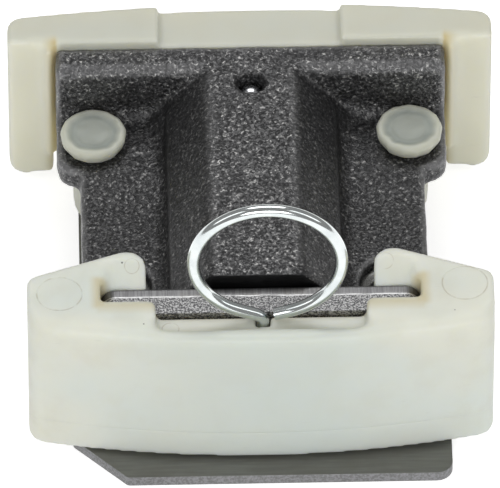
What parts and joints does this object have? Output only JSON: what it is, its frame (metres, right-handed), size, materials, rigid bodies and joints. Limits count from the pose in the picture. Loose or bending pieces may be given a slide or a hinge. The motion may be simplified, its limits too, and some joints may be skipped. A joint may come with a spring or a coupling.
{
  "type": "timing chain tensioner",
  "caption": "Hydraulic timing chain tensioner: cast iron body, fixed nylon chain pad, sprung nylon chain shoe on a steel plate, stamped back plate and wire lock pin with a pull ring.",
  "frame": {"origin": "on the rear mounting face, level with the bottom of the plunger boss, on the plunger's axis", "axes": "+X along the chain faces, +Y from the moving shoe to the fixed pad, +Z out of the front, away from the mounting face"},
  "size_m": [0.0608, 0.0597, 0.0412],
  "materials": {
    "sand_cast_iron": "sand-cast, dark grey, rough",
    "stamped_steel": "dull rolled sheet",
    "rivet_steel": "bright",
    "pad_nylon": "moulded, off-white, satin",
    "ball_steel": "ground and polished",
    "valve_steel": "turned",
    "spring_steel": "drawn wire",
    "plunger_steel": "ground",
    "sheared_steel": "sheared edge, dull faces",
    "shoe_nylon": "moulded, off-white, satin",
    "zinc_wire": "bright zinc plate"
  },
  "bodies": {
    "housing": {"tensioner_body": "sand_cast_iron", "back_plate": "stamped_steel", "back_plate_rivets": "rivet_steel", "upper_chain_pad": "pad_nylon", "oil_plug_ball": "ball_steel", "check_valve_seat": "valve_steel", "check_ball": "ball_steel", "check_ball_spring": "spring_steel", "check_valve_cage": "valve_steel", "plunger_spring": "spring_steel"},
    "shoe": {"plunger": "plunger_steel", "shoe_plate": "sheared_steel", "lower_chain_shoe": "shoe_nylon"},
    "lock_pin": {"lock_pin": "zinc_wire"}
  },
  "joints": [
    {"name": "shoe_slide", "type": "slide", "parent": "housing", "child": "shoe", "axis": [0, -1, 0], "range_m": [0, 0.007], "deforming": ["plunger_spring"]},
    {"name": "pin_pull", "type": "slide", "parent": "shoe", "child": "lock_pin", "axis": [0, 0, 1], "range_m": [0, 0.023]}
  ]
}
